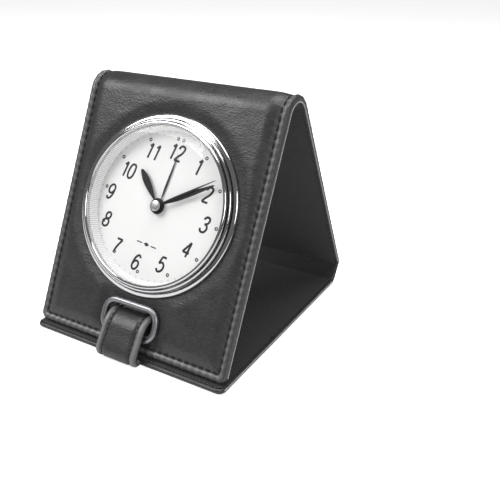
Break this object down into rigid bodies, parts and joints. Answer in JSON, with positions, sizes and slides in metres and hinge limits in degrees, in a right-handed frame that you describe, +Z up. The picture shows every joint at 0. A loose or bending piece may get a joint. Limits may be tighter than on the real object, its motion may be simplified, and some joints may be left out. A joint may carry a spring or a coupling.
{
  "type": "travel alarm clock",
  "caption": "Folding leather case that stands as a tent, with a round quartz alarm clock in its front panel and a strap closure.",
  "frame": {"origin": "centre of the base panel's underside, where the standing case rests", "axes": "+X along the folds, to the right as the clock is read; the clock looks towards -Y; +Z up"},
  "size_m": [0.081, 0.1019, 0.0872],
  "materials": {
    "leather": "black grained leatherette, satin",
    "lining": "black twill",
    "board": "grey board",
    "foam": "foam sheet",
    "chrome": "polished",
    "gunmetal": "satin gunmetal",
    "lens": "clear acrylic",
    "dial_white": "off-white satin",
    "silver": "silvered",
    "hand_black": "black satin",
    "black_plastic": "moulded black",
    "gear_plastic": "natural acetal",
    "brass": "brass",
    "steel": "steel",
    "copper": "enamelled copper wire",
    "green_board": "green lacquer"
  },
  "bodies": {
    "base": {"base_cover": "leather", "base_board": "board", "base_lining": "lining", "lower_crease": "leather"},
    "spine": {"spine_cover": "leather", "spine_board": "board", "spine_lining": "lining", "upper_crease": "leather"},
    "rear": {"rear_cover": "leather", "rear_board": "board", "rear_lining": "lining", "keeper_loop": "leather", "top_fold": "leather"},
    "front": {"front_cover": "leather", "front_foam": "foam", "front_board": "board", "front_lining": "lining", "slot_ring": "gunmetal", "slot_washer": "steel", "bezel": "chrome", "lens": "lens", "dial": "dial_white", "dial_ring": "silver", "case_wall": "black_plastic", "retaining_ring": "black_plastic", "back_cover": "black_plastic", "case_screw_1": "steel", "case_screw_2": "steel", "case_screw_3": "steel", "movement_plate": "gear_plastic", "stator": "steel", "coil": "copper", "battery_cell": "steel", "front_contact": "brass", "side_contact": "brass", "buzzer": "brass", "circuit_board": "green_board", "crystal_can": "silver"},
    "strap": {"strap": "leather"},
    "minute": {"minute_hand": "hand_black", "minute_arbor": "brass"},
    "hour": {"hour_hand": "hand_black", "hour_wheel": "gear_plastic"},
    "second": {"second_hand": "hand_black", "second_arbor": "steel", "second_cap": "silver"},
    "alarm": {"alarm_hand": "hand_black", "alarm_wheel": "gear_plastic"},
    "third": {"third_wheel": "gear_plastic"},
    "motion": {"motion_wheel": "gear_plastic", "time_set_knob": "black_plastic"},
    "alarm_set": {"alarm_set_wheel": "gear_plastic", "alarm_set_knob": "black_plastic"},
    "rotor": {"rotor": "steel"},
    "switch": {"alarm_switch": "silver"},
    "door": {"battery_door": "black_plastic"}
  },
  "joints": [
    {"name": "base_crease", "type": "hinge", "parent": "base", "child": "spine", "pos_m": [0, 0.0466, 0], "axis": [-1, 0, 0], "range_deg": [0, 50], "deforming": ["lower_crease"]},
    {"name": "rear_crease", "type": "hinge", "parent": "spine", "child": "rear", "pos_m": [0, 0.05171, 0.00831], "axis": [-1, 0, 0], "range_deg": [0, 58], "deforming": ["upper_crease"]},
    {"name": "front_fold", "type": "hinge", "parent": "rear", "child": "front", "pos_m": [0, -0.00109, 0.08217], "axis": [-1, 0, 0], "range_deg": [0, 115], "deforming": ["top_fold"]},
    {"name": "strap_flex", "type": "hinge", "parent": "base", "child": "strap", "pos_m": [0, -0.047, 0.0013], "axis": [1, 0, 0], "range_deg": [0, 45], "deforming": ["strap"]},
    {"name": "minute_turn", "type": "hinge", "parent": "front", "child": "minute", "pos_m": [0, -0.02356, 0.04908], "axis": [0, 0.9085, -0.4179], "continuous": true},
    {"name": "hour_turn", "type": "hinge", "parent": "front", "child": "hour", "pos_m": [0, -0.02356, 0.04908], "axis": [0, 0.9085, -0.4179], "continuous": true},
    {"name": "second_turn", "type": "hinge", "parent": "front", "child": "second", "pos_m": [0, -0.02356, 0.04908], "axis": [0, 0.9085, -0.4179], "continuous": true},
    {"name": "third_turn", "type": "hinge", "parent": "front", "child": "third", "pos_m": [-0.001, -0.0269, 0.04181], "axis": [0, 0.9085, -0.4179], "continuous": true},
    {"name": "motion_turn", "type": "hinge", "parent": "front", "child": "motion", "pos_m": [0.0065, -0.02101, 0.05462], "axis": [0, 0.9085, -0.4179], "continuous": true},
    {"name": "alarm_set_turn", "type": "hinge", "parent": "front", "child": "alarm_set", "pos_m": [0.0085, -0.02519, 0.04554], "axis": [0, 0.9085, -0.4179], "continuous": true},
    {"name": "alarm_turn", "type": "hinge", "parent": "front", "child": "alarm", "pos_m": [0, -0.02356, 0.04908], "axis": [0, 0.9085, -0.4179], "continuous": true},
    {"name": "rotor_turn", "type": "hinge", "parent": "front", "child": "rotor", "pos_m": [-0.0095, -0.0223, 0.05181], "axis": [0, 0.9085, -0.4179], "continuous": true},
    {"name": "alarm_switch_slide", "type": "slide", "parent": "front", "child": "switch", "axis": [1, 0, 0], "range_m": [0, 0.0035]},
    {"name": "battery_door_pull", "type": "slide", "parent": "front", "child": "door", "axis": [0, 0.9085, -0.4179], "range_m": [0, 0.008]}
  ],
  "couplings": [
    {"joint": "hour_turn", "follows": "minute_turn", "ratio": 0.083333},
    {"joint": "third_turn", "follows": "second_turn", "ratio": -0.13333},
    {"joint": "motion_turn", "follows": "minute_turn", "ratio": -0.33333},
    {"joint": "alarm_set_turn", "follows": "alarm_turn", "ratio": -2}
  ]
}
